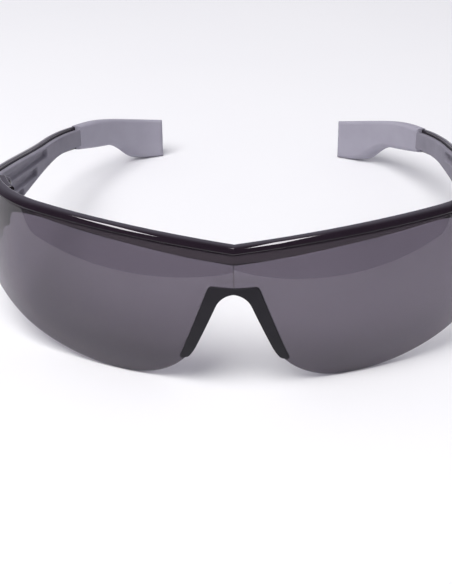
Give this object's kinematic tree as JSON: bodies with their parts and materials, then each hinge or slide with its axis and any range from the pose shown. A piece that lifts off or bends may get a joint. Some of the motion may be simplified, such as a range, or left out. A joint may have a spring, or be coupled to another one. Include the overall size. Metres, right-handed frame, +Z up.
{
  "type": "safety glasses",
  "caption": "Wrap-around safety glasses: creased smoke shield lens under a slim brow bar, soft nose piece, folding temples with soft liners and drooping tips.",
  "frame": {"origin": "on the resting plane, midway between the lens's foremost point and the rearmost points of the temple tips", "axes": "+Z up, -Y the way the wearer looks, +X the wearer's left; temples run back along +Y"},
  "size_m": [0.149, 0.1618, 0.0457],
  "materials": {
    "lens_smoke": "polished smoke-tinted polycarbonate",
    "frame_gloss_black": "glossy black nylon",
    "nose_soft_black": "satin soft elastomer",
    "temple_gloss_black": "glossy black nylon",
    "temple_soft_grey": "matte soft elastomer",
    "tip_soft_grey": "matte soft elastomer",
    "hinge_steel": "black-oiled steel screw"
  },
  "bodies": {
    "front": {"lens": "lens_smoke", "brow_bar": "frame_gloss_black", "nose_piece": "nose_soft_black", "left_hinge_screw": "hinge_steel", "right_hinge_screw": "hinge_steel"},
    "left_temple": {"left_temple_shell": "temple_gloss_black", "left_temple_liner": "temple_soft_grey", "left_temple_tip": "tip_soft_grey"},
    "right_temple": {"right_temple_shell": "temple_gloss_black", "right_temple_liner": "temple_soft_grey", "right_temple_tip": "tip_soft_grey"}
  },
  "joints": [
    {"name": "left_temple_fold", "type": "hinge", "parent": "front", "child": "left_temple", "pos_m": [0.068, -0.0375, 0.0375], "axis": [0, 0, 1], "range_deg": [0, 80]},
    {"name": "right_temple_fold", "type": "hinge", "parent": "front", "child": "right_temple", "pos_m": [-0.068, -0.0375, 0.0375], "axis": [0, 0, -1], "range_deg": [0, 72]}
  ]
}
